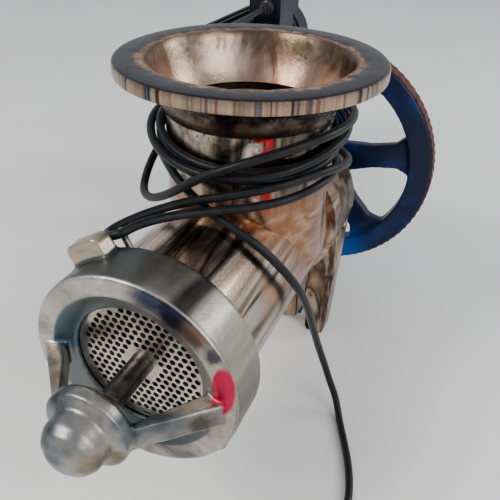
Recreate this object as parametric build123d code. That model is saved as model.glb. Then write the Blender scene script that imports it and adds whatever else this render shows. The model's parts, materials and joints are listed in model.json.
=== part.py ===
from build123d import *
import math
import os

# Belt-driven meat grinder, millimetres. The model is drawn with its origin where the
# hopper axis (Z) crosses the shaft axis (Y, front towards -Y) and is written out with the
# origin on the underside of the base plate, below the shaft, at the pedestal.

# ---- driving dimensions ----
SHAFT_HEIGHT = 165.0
PEDESTAL_Y = 145.0
FIT = 0.05
GAP = 0.3

BORE_R = 50.0
BARREL_R = 61.0
THREAD_R = 63.8
BARREL_FRONT_Y = -165.0
BARREL_REAR_Y = 62.0
REAR_WALL_Y = 52.0

NECK_R = 64.0
NECK_TOP_Z = 118.0
SPIGOT_R = 56.0
SPIGOT_Z = 96.0
RIM_R = 100.0
RIM_TOP_Z = 157.0
RIM_THICK = 10.0
BOWL_R = 77.0

PLATE_R = 49.7
PLATE_FRONT_Y = -169.0
PLATE_REAR_Y = -159.0
HOLE_R = 2.1
HOLE_PITCH = 5.8
HOLE_FIELD_R = 45.5
PLATE_HUB_R = 12.0
STUD_R = 8.0
STUD_FRONT_Y = -226.0

RING_R = 74.0
RING_FRONT_Y = -181.0
RING_REAR_Y = -144.0
RING_MOUTH_R = 60.0
WINDOW_R = 46.5
LIP_FRONT_Y = -174.0
NOSE_FRONT_Y = -254.0
STUD_Y = -131.0
LUG_ANGLES = (121.0, 301.0)
ARM_ANGLES = (-4.0, 183.0)

SHAFT_R = 15.0
SHAFT_SHOULDER_Y = 222.0
SHAFT_REAR_Y = 238.0
SHAFT_END_R = 12.5
HOUSING_R = 66.0
HOUSING_REAR_Y = 152.0
BEARING_R = 34.0
BEARING_WIDTH = 18.0
BEARING_STARTS = (70.0, 126.0)

WHEEL_R = 126.5
WHEEL_INNER_R = 103.5
WHEEL_FRONT_Y = 184.0
WHEEL_WIDTH = 20.0
HUB_R = 34.0
SPOKE_WIDTH = 29.0
SPOKE_THICK = 12.0
SPOKE_COUNT = 6
FIRST_SPOKE_DEG = 11.0
BELT_WIDTH = 15.0
BELT_DEPTH = 9.0
BELT_PROUD = 1.5

MOTOR_X = -160.0
MOTOR_Z = 58.0
MOTOR_R = 50.0
MOTOR_FRONT_Y = 215.0
CASING_FRONT_Y = 235.0
CASING_REAR_Y = 430.0
BELL_REAR_Y = 442.0
COWL_REAR_Y = 480.0
MOTOR_SHAFT_R = 9.5
MOTOR_PULLEY_R = 31.0
MOTOR_BEARING_R = 20.0

PLATE_THICK = 6.0
FLOOR_Z = -SHAFT_HEIGHT
DECK_Z = FLOOR_Z + PLATE_THICK
STAND_TOP_Z = MOTOR_Z - MOTOR_R - 8.0
PEDESTAL_BOLTS = [(-18, 158), (10, 158)]
BASE_HOLES = [(-203, 205), (8, 205), (-203, 478), (-117, 478)]
MOTOR_BOLTS = [(MOTOR_X + side * 40, y) for side in (-1, 1) for y in (275, 385)]

TERMINAL_Z = MOTOR_Z + MOTOR_R + 2.0
BOX_X0 = MOTOR_X + 18.0
BOX_X1 = MOTOR_X + 60.0
BOX_Y0 = 325.0
BOX_Y1 = 393.0
GLAND_X = BOX_X0 + 26.0
GLAND_Z = TERMINAL_Z + 13.0
GLAND_TIP_Y = BOX_Y0 - 22.0
SWITCH_X = (BOX_X0 + BOX_X1) / 2
SWITCH_Y = BOX_Y1 - 22.0
SWITCH_Z = TERMINAL_Z + 31.0

CORD_R = 3.25
CORD_FLOOR_Z = FLOOR_Z + CORD_R
WINDING_INNER_R = NECK_R + GAP
WINDING_OUTER_R = 78.0
WINDING_LOW_Z = 68.0
WINDING_HIGH_Z = 116.0
COIL_X = 172.0
COIL_Y = -232.0
COIL_R = 38.0
COIL_TURNS_WIDE = 2
COIL_TURNS_HIGH = 2
PLUG_X = COIL_X + COIL_R - 4.0
PLUG_Y = COIL_Y + 22.0
PLUG_Z = FLOOR_Z + 2 * CORD_R * COIL_TURNS_HIGH + 10.0


# ---- shape helpers ----
def rod(radius, y0, y1, x=0.0, z=0.0):
    """Cylinder along Y between two stations."""
    return Pos(x, (y0 + y1) / 2, z) * Rot(90, 0, 0) * Cylinder(radius, abs(y1 - y0))


def tube(outer, inner, y0, y1, x=0.0, z=0.0):
    return rod(outer, y0, y1, x, z) - rod(inner, y0 - 1, y1 + 1, x, z)


def post(radius, z0, z1, x=0.0, y=0.0):
    """Cylinder along Z between two heights."""
    return Pos(x, y, (z0 + z1) / 2) * Cylinder(radius, z1 - z0)


def block(x0, x1, y0, y1, z0, z1):
    return Pos((x0 + x1) / 2, (y0 + y1) / 2, (z0 + z1) / 2) * Box(x1 - x0, y1 - y0, z1 - z0)


def turned(points):
    """Solid of revolution about Y from (radius, y) points."""
    outline = make_face(Polyline([(r, y, 0) for r, y in points], close=True))
    return revolve(outline, Axis.Y)


def turned_upright(points):
    """Solid of revolution about Z from (radius, z) points."""
    outline = make_face(Polyline([(r, 0, z) for r, z in points], close=True))
    return revolve(outline, Axis.Z)


def around(shape, degrees, x=0.0, z=0.0):
    """Turn a shape about the line through (x, z) along Y, from +X towards +Z."""
    return Pos(x, 0, z) * Rot(0, -degrees, 0) * Pos(-x, 0, -z) * shape


def ring_of(shape, count, start=0.0, x=0.0, z=0.0):
    return [around(shape, start + 360.0 * i / count, x, z) for i in range(count)]


def group(shapes):
    """Separate solids that share one node."""
    return Part() + shapes


def hex_bolt(x, y, z_seat, radius, length):
    """Upright hexagon-headed bolt whose head sits on z_seat."""
    head = Pos(x, y, z_seat) * extrude(RegularPolygon(radius * 1.8, 6), radius * 1.3)
    return head + post(radius, z_seat - length, z_seat, x, y)


def cord_tube(route):
    """Cord of straight runs joined by tangent arcs as large as the runs allow."""
    points = [Vector(*p) for p in route]
    radii = []
    for before, here, after in zip(points, points[1:], points[2:]):
        turn = math.radians((here - before).get_angle(after - here))
        shorter = min((here - before).length, (after - here).length)
        radii.append(0.45 * shorter / math.tan(turn / 2))
    path = FilletPolyline(*points, radius=radii)
    section = Plane(origin=path @ 0, z_dir=path % 0) * Circle(CORD_R)
    solid = sweep(section, path=path)
    print("cord radii", [round(r) for r in radii], "length", round(path.length),
          "volume ratio", round(solid.volume / (math.pi * CORD_R**2 * path.length), 3))
    return solid


# ---- cord routes, chosen by hand ----
LEAD_ROUTE = [
    (GLAND_X, GLAND_TIP_Y, GLAND_Z), (-117, 270, 121), (-118.5, 237, 119.5), (-117.5, 205, 120.5),
    (-113, 176, 121), (-105, 146, 118), (-94, 116, 112), (-84, 86, 106), (-74, 57, 101), (-66, 30, 98),
]
LOOP_ROUTE = [
    (60, -38, 88), (40, -62, 84), (14, -74, 79), (-8, -86, 76), (-24, -102, 74), (-36, -118, 71),
    (-43, -130, 68), (-40, -139, 69.5), (-33, -141.5, 73), (-27, -139, 75), (-24, -130, 76),
    (-18, -116, 75), (-6, -100, 74), (10, -86, 73), (30, -74, 74), (52, -56, 76), (68, -30, 80),
]
TAIL_ROUTE = [
    (-46, -52, 88), (-24, -69, 80), (2, -80, 70), (26, -84, 62), (47, -82, 50), (63, -75, 30),
    (71, -61, 6), (73, -44, -22), (74, -28, -52), (77, -14, -84), (83, -4, -114),
    (92, -2, -142), (100, -8, CORD_FLOOR_Z + 3), (107, -22, CORD_FLOOR_Z), (118, -42, CORD_FLOOR_Z),
    (129, -66, CORD_FLOOR_Z), (137, -94, CORD_FLOOR_Z), (138, -124, CORD_FLOOR_Z),
    (132, -156, CORD_FLOOR_Z), (128, -190, CORD_FLOOR_Z), (134, -222, CORD_FLOOR_Z),
]


# ---- grinding head ----
def grinder_body():
    barrel = rod(BARREL_R, BARREL_FRONT_Y + 22, BARREL_REAR_Y)
    collar = rod(THREAD_R, BARREL_FRONT_Y, BARREL_FRONT_Y + 24)
    rear_flange = rod(HOUSING_R, REAR_WALL_Y - 6, BARREL_REAR_Y)
    neck = post(NECK_R, 0, NECK_TOP_Z)
    body = barrel + collar + rear_flange + neck
    body -= rod(BORE_R, BARREL_FRONT_Y - 1, REAR_WALL_Y)
    body -= post(BORE_R, 0, SPIGOT_Z)
    body -= post(SPIGOT_R, SPIGOT_Z, NECK_TOP_Z + 1)
    body -= rod(BEARING_R - 8, REAR_WALL_Y - 1, BARREL_REAR_Y + 1)
    body -= rod(HOUSING_R + GAP, BARREL_REAR_Y, NECK_R + 2)
    body -= lock_stud_shape(FIT)
    body -= plate_key_shape()
    for hole in housing_bolt_shafts(REAR_WALL_Y + 2):
        body -= hole
    return body


def lock_stud_shape(clear=0.0):
    """Mushroom-headed stud on top of the barrel, just behind the ring nut."""
    stem = post(2.4 + clear, BARREL_R - 8, BARREL_R + 16, 0, STUD_Y)
    cap = Pos(0, STUD_Y, BARREL_R + 16) * Sphere(3.6)
    return around(stem if clear else stem + cap, 25)


def lock_stud():
    return lock_stud_shape()


def plate_key_shape():
    """Pin in the barrel mouth that keeps the plate from turning."""
    return Pos(0, PLATE_REAR_Y - 3, -51) * Box(6, 6, 10)


def plate_key():
    return plate_key_shape()


def hopper_bowl():
    outline = [
        (50, SPIGOT_Z), (SPIGOT_R - FIT, SPIGOT_Z), (SPIGOT_R - FIT, NECK_TOP_Z), (NECK_R, NECK_TOP_Z),
        (72, 134), (82, RIM_TOP_Z - RIM_THICK), (RIM_R - 1, RIM_TOP_Z - RIM_THICK),
        (RIM_R, RIM_TOP_Z - RIM_THICK + 1), (RIM_R, RIM_TOP_Z - 1.5), (RIM_R - 1.5, RIM_TOP_Z),
        (BOWL_R, RIM_TOP_Z), (74, 150), (69, 134), (61, 119), (52, 108), (50, 104),
    ]
    return turned_upright(outline)


def ring_nut():
    shell = turned([
        (WINDOW_R, LIP_FRONT_Y), (RING_MOUTH_R, RING_FRONT_Y), (RING_R - 2.5, RING_FRONT_Y),
        (RING_R - 0.7, RING_FRONT_Y + 1), (RING_R, RING_FRONT_Y + 3), (RING_R, RING_REAR_Y - 2),
        (RING_R - 2, RING_REAR_Y), (THREAD_R + GAP, RING_REAR_Y), (THREAD_R + GAP, PLATE_FRONT_Y - 2.1),
        (WINDOW_R, PLATE_FRONT_Y - 2.1),
    ])
    lug = block(RING_R - 3, RING_R + 13, RING_REAR_Y - 16, RING_REAR_Y - 3, -15, 15)
    lug = fillet(lug.edges().filter_by(Axis.Y).sort_by(Axis.X)[-2:], 6)
    for angle in LUG_ANGLES:
        shell += around(lug, angle)
    return shell


def nose_bridge():
    """Two arms welded across the nut's mouth, with the nose that steadies the worm's stud."""
    reach = RING_MOUTH_R + 6
    arm = make_face(Polyline([
        (0, NOSE_FRONT_Y + 24), (20, NOSE_FRONT_Y + 24), (reach, RING_FRONT_Y - 1), (reach, RING_FRONT_Y + 6),
        (reach - 12, RING_FRONT_Y + 6), (24, NOSE_FRONT_Y + 36), (0, NOSE_FRONT_Y + 36),
    ], close=True))
    arm = extrude(arm, 9, both=True)
    bridge = turned([
        (0, NOSE_FRONT_Y), (9, NOSE_FRONT_Y + 1.5), (16, NOSE_FRONT_Y + 6), (19.5, NOSE_FRONT_Y + 12),
        (20, NOSE_FRONT_Y + 22), (28, NOSE_FRONT_Y + 25), (28, NOSE_FRONT_Y + 33), (20, NOSE_FRONT_Y + 40),
        (0, NOSE_FRONT_Y + 40),
    ])
    for angle in ARM_ANGLES:
        bridge += around(arm, angle)
    bridge -= ring_nut()
    return bridge - rod(STUD_R + FIT, STUD_FRONT_Y - 2, RING_FRONT_Y)


def slip_washer():
    """Flat washer between the nut's lip and the plate; it travels with the nut but doesn't turn."""
    return tube(PLATE_R, WINDOW_R, PLATE_FRONT_Y - 2, PLATE_FRONT_Y - FIT)


def perforated_plate():
    plate = rod(PLATE_R, PLATE_FRONT_Y, PLATE_REAR_Y)
    row_step = HOLE_PITCH * math.sqrt(3) / 2
    rows = int(HOLE_FIELD_R / row_step)
    places = []
    for row in range(-rows, rows + 1):
        shift = HOLE_PITCH / 2 if row % 2 else 0.0
        for col in range(-rows - 1, rows + 2):
            x = col * HOLE_PITCH + shift
            z = row * row_step
            if PLATE_HUB_R + HOLE_R + 1 < math.hypot(x, z) < HOLE_FIELD_R - HOLE_R:
                places.append((x, z))
    sketch = Sketch() + [Pos(x, z) * Circle(HOLE_R) for x, z in places]
    cutter = extrude(Plane((0, PLATE_REAR_Y + 1, 0), x_dir=(1, 0, 0), z_dir=(0, -1, 0)) * sketch, 14)
    plate -= cutter
    plate -= rod(STUD_R + FIT, PLATE_FRONT_Y - 1, PLATE_REAR_Y + 1)
    plate -= Pos(0, PLATE_REAR_Y - 3, -51) * Box(6.4, 20, 10.4)
    return plate


def cutting_knife():
    y0, y1 = PLATE_REAR_Y + FIT, PLATE_REAR_Y + 12
    blade = make_face(Polyline([(6, -9), (46, -4), (47, 5), (6, 9)], close=True))
    blade = Plane((0, y1, 0), x_dir=(1, 0, 0), z_dir=(0, -1, 0)) * extrude(blade, y1 - y0)
    knife = rod(17, y0, y1)
    for angle in (0, 90, 180, 270):
        knife += around(blade, angle)
    return knife - Pos(0, (y0 + y1) / 2, 0) * Box(16.2, 40, 16.2)


def worm_screw():
    y_front, y_rear, pitch, core_r = PLATE_REAR_Y + 14, 44.0, 44.0, 20.0
    length = y_rear - y_front
    fin = make_face(Polyline([(0, -10), (BORE_R - 1.2, -7), (BORE_R - 1.2, 7), (0, 10)], close=True))
    turn = 360.0 * length / pitch
    worm = rod(core_r, y_front, y_rear + 1)
    fin_solid = Solid.extrude_linear_with_rotation(
        Plane((0, y_front, 0), x_dir=(1, 0, 0), z_dir=(0, 1, 0)) * fin.faces()[0],
        (0, y_front, 0), (0, length, 0), turn,
    )
    worm = worm + fin_solid
    worm += rod(24, y_rear, REAR_WALL_Y - 0.5)
    worm += Pos(0, y_front - 7, 0) * Box(16, 14, 16)
    worm += rod(STUD_R, STUD_FRONT_Y, y_front)
    worm -= Pos(0, REAR_WALL_Y - 10, 0) * Box(16.1, 22, 16.1)
    return worm


# ---- drive line ----
def drive_shaft():
    shaft = rod(SHAFT_R, REAR_WALL_Y + 2, SHAFT_SHOULDER_Y) + rod(SHAFT_END_R, SHAFT_SHOULDER_Y, SHAFT_REAR_Y)
    shaft += Pos(0, REAR_WALL_Y - 6, 0) * Box(16, 22, 16)
    return shaft - key_shape()


def key_shape():
    return block(-4, 4, WHEEL_FRONT_Y - 12, WHEEL_FRONT_Y + 18, SHAFT_R - 4, SHAFT_R + 3)


def wheel_key():
    return key_shape()


def bearing_parts(y0, width, inner, outer, x=0.0, z=0.0):
    """Outer race, inner race and a ring of balls for one deep-groove bearing."""
    y1 = y0 + width
    middle = (inner + outer) / 2
    ball_r = (outer - inner) * 0.3
    y_mid = (y0 + y1) / 2
    groove = Pos(x, y_mid, z) * Rot(90, 0, 0) * Torus(middle, ball_r + FIT)
    outer_race = tube(outer, middle + ball_r * 0.55, y0, y1, x, z) - groove
    inner_race = tube(middle - ball_r * 0.55, inner, y0, y1, x, z) - groove
    ball = Pos(x + middle, y_mid, z) * Sphere(ball_r)
    count = int(2 * math.pi * middle / (ball_r * 2.3))
    return outer_race, inner_race, group(ring_of(ball, count, 0, x, z))


def rear_housing():
    outline = [
        (BEARING_R - 10, BARREL_REAR_Y), (HOUSING_R, BARREL_REAR_Y), (HOUSING_R, 108), (58, 116),
        (46, 132), (44, HOUSING_REAR_Y), (BEARING_R, HOUSING_REAR_Y), (BEARING_R, BEARING_STARTS[1]),
        (BEARING_R - 4, BEARING_STARTS[1]), (BEARING_R - 4, BEARING_STARTS[0] + BEARING_WIDTH),
        (BEARING_R, BEARING_STARTS[0] + BEARING_WIDTH), (BEARING_R, BEARING_STARTS[0]),
        (BEARING_R - 10, BEARING_STARTS[0]),
    ]
    housing = turned(outline)
    for hole in housing_bolt_shafts(REAR_WALL_Y + 2):
        housing -= hole
    for hole in cap_screw_shafts():
        housing -= hole
    return housing


def housing_bolt_shafts(y_tip):
    return ring_of(rod(3.1, y_tip, 110, HOUSING_R - 9) + rod(5.4, 108, 125, HOUSING_R - 9), 6, 30)


def housing_bolts():
    bolt = rod(3, REAR_WALL_Y + 2.2, 108, HOUSING_R - 9) + rod(5.0, 108, 112, HOUSING_R - 9)
    return group(ring_of(bolt, 6, 30))


def cap_screw_shafts():
    return ring_of(rod(2.1, HOUSING_REAR_Y - 8, HOUSING_REAR_Y + 8, BEARING_R + 5), 4, 45)


def bearing_cap():
    cap = tube(44, SHAFT_R + 6, HOUSING_REAR_Y, HOUSING_REAR_Y + 5)
    cap += tube(BEARING_R - FIT, SHAFT_R + 6, BEARING_STARTS[1] + BEARING_WIDTH, HOUSING_REAR_Y)
    for hole in cap_screw_shafts():
        cap -= hole
    return cap


def cap_screws():
    screw = rod(2, HOUSING_REAR_Y - 7, HOUSING_REAR_Y + 5, BEARING_R + 5)
    screw += rod(3.6, HOUSING_REAR_Y + 5, HOUSING_REAR_Y + 7.5, BEARING_R + 5)
    return group(ring_of(screw, 4, 45))


def shaft_seal():
    return tube(SHAFT_R + 6 - FIT, SHAFT_R + FIT, HOUSING_REAR_Y - 4, HOUSING_REAR_Y + 4)


def bearing_spacer():
    y0 = BEARING_STARTS[0] + BEARING_WIDTH
    return tube(SHAFT_R + 4, SHAFT_R, y0, BEARING_STARTS[1])


def pulley_wheel():
    y0, y1 = WHEEL_FRONT_Y, WHEEL_FRONT_Y + WHEEL_WIDTH
    y_mid = (y0 + y1) / 2
    groove_r = WHEEL_R - BELT_DEPTH + BELT_PROUD - GAP - 1
    half = BELT_WIDTH / 2 + GAP
    rim = turned([
        (WHEEL_INNER_R, y0), (WHEEL_R, y0), (WHEEL_R, y_mid - half), (groove_r, y_mid - half),
        (groove_r, y_mid + half), (WHEEL_R, y_mid + half), (WHEEL_R, y1), (WHEEL_INNER_R, y1),
    ])
    wheel = rim + rod(HUB_R, y0 - 14, y1 + 4)
    outline = make_face(Polyline([
        (0, -SPOKE_WIDTH / 2 - 4), (HUB_R, -SPOKE_WIDTH / 2 - 2), (HUB_R + 30, -SPOKE_WIDTH / 2 + 2),
        (WHEEL_INNER_R - 14, -SPOKE_WIDTH / 2 + 1), (WHEEL_INNER_R + 5, -SPOKE_WIDTH / 2 - 12),
        (WHEEL_INNER_R + 5, SPOKE_WIDTH / 2 + 12), (WHEEL_INNER_R - 14, SPOKE_WIDTH / 2 - 1),
        (HUB_R + 30, SPOKE_WIDTH / 2 - 2), (HUB_R, SPOKE_WIDTH / 2 + 2), (0, SPOKE_WIDTH / 2 + 4),
    ], close=True))
    face = Plane((0, y_mid + SPOKE_THICK / 2, 0), x_dir=(1, 0, 0), z_dir=(0, -1, 0))
    spoke = extrude(face * outline, SPOKE_THICK)
    for arm in ring_of(spoke, SPOKE_COUNT, FIRST_SPOKE_DEG):
        wheel += arm
    wheel -= rod(SHAFT_R, y0 - 20, y1 + 20)
    return wheel - key_shape()


def shaft_washer():
    return tube(24, SHAFT_R, WHEEL_FRONT_Y + WHEEL_WIDTH + 4, WHEEL_FRONT_Y + WHEEL_WIDTH + 7)


def shaft_nut():
    y0 = WHEEL_FRONT_Y + WHEEL_WIDTH + 7
    nut = Plane((0, y0, 0), x_dir=(1, 0, 0), z_dir=(0, 1, 0)) * extrude(RegularPolygon(24, 6), 9)
    return nut - rod(SHAFT_R, y0 - 1, y0 + 20)


def v_belt():
    """Open belt round the big wheel and the motor pulley."""
    y_mid = WHEEL_FRONT_Y + WHEEL_WIDTH / 2
    loops = []
    for inset in (-BELT_PROUD, BELT_DEPTH - BELT_PROUD):
        small = Pos(MOTOR_X, MOTOR_Z) * Circle(MOTOR_PULLEY_R - inset)
        edges = (Circle(WHEEL_R - inset).edges() + small.edges())
        loops.append(make_face(make_hull(edges).edges()))
    face = loops[0] - loops[1]
    lay = Plane((0, y_mid + BELT_WIDTH / 2, 0), x_dir=(1, 0, 0), z_dir=(0, -1, 0))
    return extrude(lay * face, BELT_WIDTH)


# ---- pedestal and base ----
def pedestal():
    leg = make_face(Polyline([(12, -30), (62, -20), (58, -100), (54, -SHAFT_HEIGHT), (33, -SHAFT_HEIGHT),
                              (30, -110), (24, -72)], close=True))
    lay = Plane((0, 118, 0), x_dir=(1, 0, 0), z_dir=(0, -1, 0))
    legs = extrude(lay * leg, 24)
    legs += mirror(legs, Plane.YZ)
    saddle = block(-54, 54, 94, 118, -86, -10)
    column = block(-20, 20, 100, 132, DECK_Z, -30)
    pad = block(-26, 18, 118, 170, DECK_Z, DECK_Z + 9)
    stand = legs + saddle + column + pad
    stand -= rod(HOUSING_R, 80, 108)
    stand -= turned([(0, 108), (HOUSING_R, 108), (58, 116), (46, 132), (44, 140), (0, 140)])
    stand -= block(-26, 20, 80, 118, FLOOR_Z, DECK_Z)
    for x, y in PEDESTAL_BOLTS:
        stand -= post(4.2, DECK_Z - 1, DECK_Z + 20, x, y)
    return stand


def pedestal_bolts():
    return group([hex_bolt(x, y, DECK_Z + 9, 4, 14) for x, y in PEDESTAL_BOLTS])


def base_plate():
    plate = block(-215, 20, 118, 217, FLOOR_Z, DECK_Z) + block(-215, -105, 216, 490, FLOOR_Z, DECK_Z)
    for x, y in PEDESTAL_BOLTS:
        plate -= post(4.2, FLOOR_Z - 1, DECK_Z + 1, x, y)
    for x, y in BASE_HOLES:
        plate -= post(5.0, FLOOR_Z - 1, DECK_Z + 1, x, y)
    return plate


def motor_stand():
    """Welded table of square-tube posts that lifts the motor to belt height."""
    x0, x1, y0, y1, bar = MOTOR_X - 50, MOTOR_X + 50, 240.0, 425.0, 22.0
    stand = block(x0, x1, y0, y1, STAND_TOP_Z - 6, STAND_TOP_Z)
    for x in (x0, x1 - bar):
        for y in (y0, y1 - bar):
            leg = block(x, x + bar, y, y + bar, DECK_Z, STAND_TOP_Z - 6)
            stand += leg - block(x + 2, x + bar - 2, y + 2, y + bar - 2, DECK_Z - 1, STAND_TOP_Z - 7)
        stand += block(x + 4, x + bar - 4, y0 + bar - 1, y1 - bar + 1, -110, -96)
    for y in (y0, y1 - bar):
        stand += block(x0 + bar - 1, x1 - bar + 1, y + 4, y + bar - 4, -110, -96)
    for x, y in MOTOR_BOLTS:
        stand -= post(4.2, STAND_TOP_Z - 8, STAND_TOP_Z + 1, x, y)
    return stand


# ---- motor ----
def motor_tube(outer, inner, y0, y1):
    return tube(outer, inner, y0, y1, MOTOR_X, MOTOR_Z)


def motor_rod(radius, y0, y1):
    return rod(radius, y0, y1, MOTOR_X, MOTOR_Z)


def motor_casing():
    casing = motor_rod(MOTOR_R - 4, CASING_FRONT_Y, CASING_REAR_Y)
    y0, y1 = CASING_FRONT_Y + 8, CASING_REAR_Y - 8
    fin = block(MOTOR_X, MOTOR_X + MOTOR_R, y0, y1, MOTOR_Z - 1.2, MOTOR_Z + 1.2)
    for rib in ring_of(fin, 28, 0, MOTOR_X, MOTOR_Z):
        casing += rib
    for y in (262, 372):
        casing += block(MOTOR_X - 50, MOTOR_X + 50, y, y + 26, STAND_TOP_Z, STAND_TOP_Z + 8)
        casing += block(MOTOR_X - 30, MOTOR_X + 30, y, y + 26, STAND_TOP_Z, MOTOR_Z - 20)
    casing += block(BOX_X0 + 2, BOX_X1 - 4, BOX_Y0 + 10, BOX_Y1 - 8, MOTOR_Z + 22, TERMINAL_Z)
    casing -= motor_rod(MOTOR_R - 8, CASING_FRONT_Y - 1, CASING_REAR_Y + 1)
    for x, y in MOTOR_BOLTS:
        casing -= post(4.2, STAND_TOP_Z - 1, STAND_TOP_Z + 9, x, y)
    return casing


def motor_bolts():
    return group([hex_bolt(x, y, STAND_TOP_Z + 8, 4, 16) for x, y in MOTOR_BOLTS])


def end_bell(y_face, y_joint, bearing_y):
    bell = motor_rod(MOTOR_R - 2, y_face, y_joint)
    low, high = bearing_y, bearing_y + 10
    bell -= motor_rod(MOTOR_BEARING_R, low, high)
    bell -= motor_rod(MOTOR_SHAFT_R + 1.5, min(y_face, y_joint) - 1, max(y_face, y_joint) + 1)
    return bell


def front_end_bell():
    bell = end_bell(MOTOR_FRONT_Y, CASING_FRONT_Y, 223)
    bell -= motor_rod(MOTOR_BEARING_R, 223, CASING_FRONT_Y + 1)
    return fillet(bell.edges().filter_by(GeomType.CIRCLE).sort_by(Axis.Y)[:3].sort_by(SortBy.RADIUS)[-1], 5)


def rear_end_bell():
    bell = end_bell(CASING_REAR_Y, BELL_REAR_Y, CASING_REAR_Y)
    return bell - motor_rod(MOTOR_BEARING_R, CASING_REAR_Y - 1, CASING_REAR_Y + 10)


def fan_cowl():
    cowl = motor_rod(MOTOR_R, BELL_REAR_Y, COWL_REAR_Y)
    cowl = fillet(cowl.edges().filter_by(GeomType.CIRCLE).sort_by(Axis.Y)[-1], 6)
    cowl -= motor_rod(MOTOR_R - 2, BELL_REAR_Y - 1, COWL_REAR_Y - 3)
    slot = block(MOTOR_X + 14, MOTOR_X + 38, COWL_REAR_Y - 6, COWL_REAR_Y + 1, MOTOR_Z - 2.2, MOTOR_Z + 2.2)
    for cut in ring_of(slot, 12, 0, MOTOR_X, MOTOR_Z):
        cowl -= cut
    return cowl


def cooling_fan():
    fan = motor_rod(16, BELL_REAR_Y + 6, COWL_REAR_Y - 10)
    y0, y1 = BELL_REAR_Y + 8, COWL_REAR_Y - 12
    blade = block(MOTOR_X + 12, MOTOR_X + 42, y0, y1, MOTOR_Z - 1.2, MOTOR_Z + 1.2)
    for vane in ring_of(blade, 8, 10, MOTOR_X, MOTOR_Z):
        fan += vane
    return fan - motor_rod(MOTOR_SHAFT_R, BELL_REAR_Y, COWL_REAR_Y)


def motor_shaft():
    shaft = motor_rod(MOTOR_SHAFT_R, WHEEL_FRONT_Y - 6, COWL_REAR_Y - 8)
    return shaft - motor_key_shape()


def motor_key_shape():
    return block(MOTOR_X - 2.5, MOTOR_X + 2.5, WHEEL_FRONT_Y - 3, WHEEL_FRONT_Y + 20,
                 MOTOR_Z + MOTOR_SHAFT_R - 2.5, MOTOR_Z + MOTOR_SHAFT_R + 2)


def motor_key():
    return motor_key_shape()


def rotor_core():
    return motor_tube(27.5, MOTOR_SHAFT_R, 275, 395)


def stator_core():
    core = motor_tube(MOTOR_R - 8, 28, 275, 395)
    return core + motor_tube(MOTOR_R - 12, 31, 262, 275) + motor_tube(MOTOR_R - 12, 31, 395, 408)


def motor_pulley():
    y0, y1 = WHEEL_FRONT_Y, WHEEL_FRONT_Y + WHEEL_WIDTH
    y_mid = (y0 + y1) / 2
    half = BELT_WIDTH / 2 + GAP
    groove_r = MOTOR_PULLEY_R - BELT_DEPTH + BELT_PROUD - GAP - 1
    outline = [
        (MOTOR_SHAFT_R, y0 - 2), (15, y0 - 2), (15, y0), (MOTOR_PULLEY_R, y0), (MOTOR_PULLEY_R, y_mid - half),
        (groove_r, y_mid - half), (groove_r, y_mid + half), (MOTOR_PULLEY_R, y_mid + half),
        (MOTOR_PULLEY_R, y1), (MOTOR_SHAFT_R, y1),
    ]
    return Pos(MOTOR_X, 0, MOTOR_Z) * turned(outline) - motor_key_shape()


def terminal_box():
    box = block(BOX_X0, BOX_X1, BOX_Y0, BOX_Y1, TERMINAL_Z, TERMINAL_Z + 26)
    box -= block(BOX_X0 + 2.5, BOX_X1 - 2.5, BOX_Y0 + 2.5, BOX_Y1 - 2.5, TERMINAL_Z + 2.5, TERMINAL_Z + 27)
    box -= rod(6, BOX_Y0 - 1, BOX_Y0 + 4, GLAND_X, GLAND_Z)
    return box


def terminal_lid():
    lid = block(BOX_X0 - 1, BOX_X1 + 1, BOX_Y0 - 1, BOX_Y1 + 1, TERMINAL_Z + 26, TERMINAL_Z + 29)
    lid -= post(5.1, TERMINAL_Z + 25, TERMINAL_Z + 30, SWITCH_X, SWITCH_Y)
    return lid


def toggle_switch():
    body = block(SWITCH_X - 9, SWITCH_X + 9, SWITCH_Y - 14, SWITCH_Y + 14, TERMINAL_Z + 6, TERMINAL_Z + 26)
    collar = post(5, TERMINAL_Z + 26, SWITCH_Z + 4, SWITCH_X, SWITCH_Y)
    collar += Pos(SWITCH_X, SWITCH_Y, TERMINAL_Z + 29) * extrude(RegularPolygon(8, 6), 2.5)
    switch = body + collar
    cavity = Pos(SWITCH_X, SWITCH_Y, SWITCH_Z) * Sphere(3.2)
    mouth = Cone(2.6, 4.6, 8, align=(Align.CENTER, Align.CENTER, Align.MIN))
    cavity += Pos(SWITCH_X, SWITCH_Y, SWITCH_Z) * mouth
    return switch - cavity


def toggle_lever():
    tilt = Pos(SWITCH_X, SWITCH_Y, SWITCH_Z) * Rot(14, 0, 0)
    lever = Pos(0, 0, 8) * Cylinder(1.5, 16) + Pos(0, 0, 16) * Sphere(2.4) + Sphere(2.9)
    return tilt * lever


def cable_gland():
    gland = rod(5.8, BOX_Y0 - 2, BOX_Y0 + 8, GLAND_X, GLAND_Z)
    gland += rod(8.5, BOX_Y0 - 10, BOX_Y0, GLAND_X, GLAND_Z)
    boot = Pos(GLAND_X, BOX_Y0 - 16, GLAND_Z) * Rot(90, 0, 0) * Cone(6.5, 4.6, 12)
    return gland + boot - rod(CORD_R, BOX_Y0 - 30, BOX_Y0 + 12, GLAND_X, GLAND_Z)


# ---- cord and plug ----
def cord_lead():
    return cord_tube(LEAD_ROUTE)


def cord_winding():
    band = post(WINDING_OUTER_R, WINDING_LOW_Z, WINDING_HIGH_Z) - post(WINDING_INNER_R, 0, RIM_TOP_Z)
    return band


def cord_front_loop():
    return cord_tube(LOOP_ROUTE)


def cord_tail():
    return cord_tube(TAIL_ROUTE)


def cord_coil():
    half = COIL_TURNS_WIDE * CORD_R
    height = 2 * CORD_R * COIL_TURNS_HIGH
    ring = post(COIL_R + half, FLOOR_Z, FLOOR_Z + height, COIL_X, COIL_Y)
    return ring - post(COIL_R - half, FLOOR_Z - 1, FLOOR_Z + height + 1, COIL_X, COIL_Y)


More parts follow.
